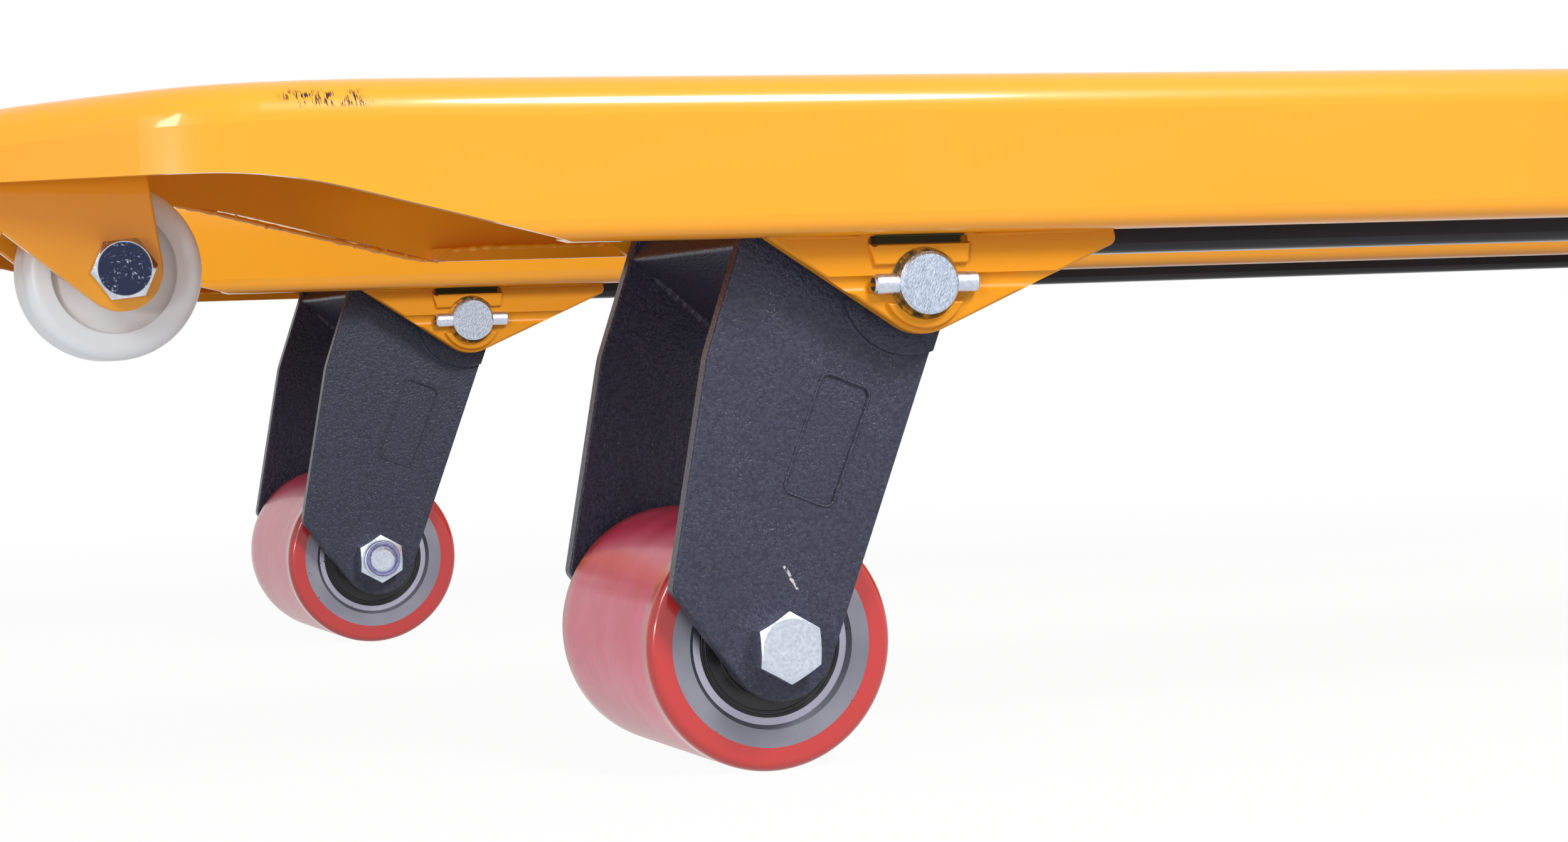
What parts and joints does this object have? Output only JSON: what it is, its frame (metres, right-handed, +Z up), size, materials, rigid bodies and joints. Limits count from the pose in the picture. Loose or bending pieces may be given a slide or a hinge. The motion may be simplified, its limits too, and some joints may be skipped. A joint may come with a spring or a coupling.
{
  "type": "pallet truck fork frame",
  "caption": "Lifting fork frame with folding load legs, polyurethane load wheels, push rods, torsion shaft and nylon entry rollers.",
  "frame": {"origin": "centre of the pump head bore at the lower face of the seat plate, on the middle plane between the forks", "axes": "+X along the forks towards the heel, +Y to the right fork, +Z up; the fork tips point to -X"},
  "size_m": [1.322, 0.685, 0.451],
  "materials": {
    "fork_paint": "gloss powder coat with paint runs at the welds",
    "leg_paint": "satin hammer-texture paint",
    "pin_steel": "sawn and turned",
    "bright_zinc": "satin zinc plate",
    "roller_bolt_zinc": "bright blue zinc plate",
    "hub_steel": "machined, lightly oiled",
    "bearing_steel": "ground",
    "seal_rubber": "matt",
    "tread_polyurethane": "gloss side, dusty tread",
    "bronze": "turned",
    "white_nylon": "moulded, slightly translucent"
  },
  "bodies": {
    "frame": {"left_fork": "fork_paint", "left_outer_gusset": "fork_paint", "left_inner_gusset": "fork_paint", "left_pivot_pin": "pin_steel", "left_roller_bracket": "fork_paint", "right_fork": "fork_paint", "right_outer_gusset": "fork_paint", "right_inner_gusset": "fork_paint", "right_pivot_pin": "pin_steel", "right_roller_bracket": "fork_paint", "spring_pins": "bright_zinc", "roller_bolts": "roller_bolt_zinc", "shaft_hangers": "fork_paint", "hanger_bushes": "bronze", "heel_apron": "fork_paint", "heel_skirt": "fork_paint", "heel_braces": "fork_paint", "pump_seat": "fork_paint"},
    "torsion": {"torsion_shaft": "leg_paint", "shaft_collars": "leg_paint", "left_rocker": "leg_paint", "right_rocker": "leg_paint", "rocker_pins": "pin_steel", "lift_lever": "leg_paint"},
    "left_leg": {"left_outer_cheek": "leg_paint", "left_inner_cheek": "leg_paint", "left_leg_crosspiece": "leg_paint", "left_leg_bushes": "bronze", "left_axle_bolt": "bright_zinc", "left_axle_nut": "bright_zinc", "left_axle_sleeve": "hub_steel", "left_bearing_inner_rings": "bearing_steel", "left_link_pin": "pin_steel"},
    "left_wheel": {"left_wheel_tyre": "tread_polyurethane", "left_wheel_hub": "hub_steel", "left_bearing_outer_rings": "bearing_steel", "left_bearing_balls": "bearing_steel", "left_bearing_seals": "seal_rubber"},
    "left_rod": {"left_rod_front_eye": "leg_paint", "left_push_rod": "leg_paint", "left_rod_rear_clevis": "leg_paint"},
    "left_roller": {"left_entry_roller": "white_nylon"},
    "right_leg": {"right_outer_cheek": "leg_paint", "right_inner_cheek": "leg_paint", "right_leg_crosspiece": "leg_paint", "right_leg_bushes": "bronze", "right_axle_bolt": "bright_zinc", "right_axle_nut": "bright_zinc", "right_axle_sleeve": "hub_steel", "right_bearing_inner_rings": "bearing_steel", "right_link_pin": "pin_steel"},
    "right_wheel": {"right_wheel_tyre": "tread_polyurethane", "right_wheel_hub": "hub_steel", "right_bearing_outer_rings": "bearing_steel", "right_bearing_balls": "bearing_steel", "right_bearing_seals": "seal_rubber"},
    "right_rod": {"right_rod_front_eye": "leg_paint", "right_push_rod": "leg_paint", "right_rod_rear_clevis": "leg_paint"},
    "right_roller": {"right_entry_roller": "white_nylon"}
  },
  "joints": [
    {"name": "torsion_turn", "type": "hinge", "parent": "frame", "child": "torsion", "pos_m": [-0.072, 0, -0.294], "axis": [0, 1, 0], "range_deg": [0, 76]},
    {"name": "left_leg_fold", "type": "hinge", "parent": "frame", "child": "left_leg", "pos_m": [-0.985, -0.2625, -0.294], "axis": [0, 1, 0], "range_deg": [0, 76]},
    {"name": "left_rod_swing", "type": "hinge", "parent": "left_leg", "child": "left_rod", "pos_m": [-1.00347, -0.2625, -0.27036], "axis": [0, 1, 0], "range_deg": [-76, 0]},
    {"name": "left_wheel_spin", "type": "hinge", "parent": "left_leg", "child": "left_wheel", "pos_m": [-1.02703, -0.2625, -0.39598], "axis": [0, 1, 0], "continuous": true},
    {"name": "left_roller_spin", "type": "hinge", "parent": "frame", "child": "left_roller", "pos_m": [-1.2051, -0.2625, -0.2827], "axis": [0, 1, 0], "continuous": true},
    {"name": "right_leg_fold", "type": "hinge", "parent": "frame", "child": "right_leg", "pos_m": [-0.985, 0.2625, -0.294], "axis": [0, 1, 0], "range_deg": [0, 76]},
    {"name": "right_rod_swing", "type": "hinge", "parent": "right_leg", "child": "right_rod", "pos_m": [-1.00347, 0.2625, -0.27036], "axis": [0, 1, 0], "range_deg": [-76, 0]},
    {"name": "right_wheel_spin", "type": "hinge", "parent": "right_leg", "child": "right_wheel", "pos_m": [-1.02703, 0.2625, -0.39598], "axis": [0, 1, 0], "continuous": true},
    {"name": "right_roller_spin", "type": "hinge", "parent": "frame", "child": "right_roller", "pos_m": [-1.2051, 0.2625, -0.2827], "axis": [0, 1, 0], "continuous": true}
  ],
  "couplings": [
    {"joint": "left_leg_fold", "follows": "torsion_turn", "ratio": 1},
    {"joint": "left_rod_swing", "follows": "torsion_turn", "ratio": -1},
    {"joint": "right_leg_fold", "follows": "torsion_turn", "ratio": 1},
    {"joint": "right_rod_swing", "follows": "torsion_turn", "ratio": -1}
  ]
}
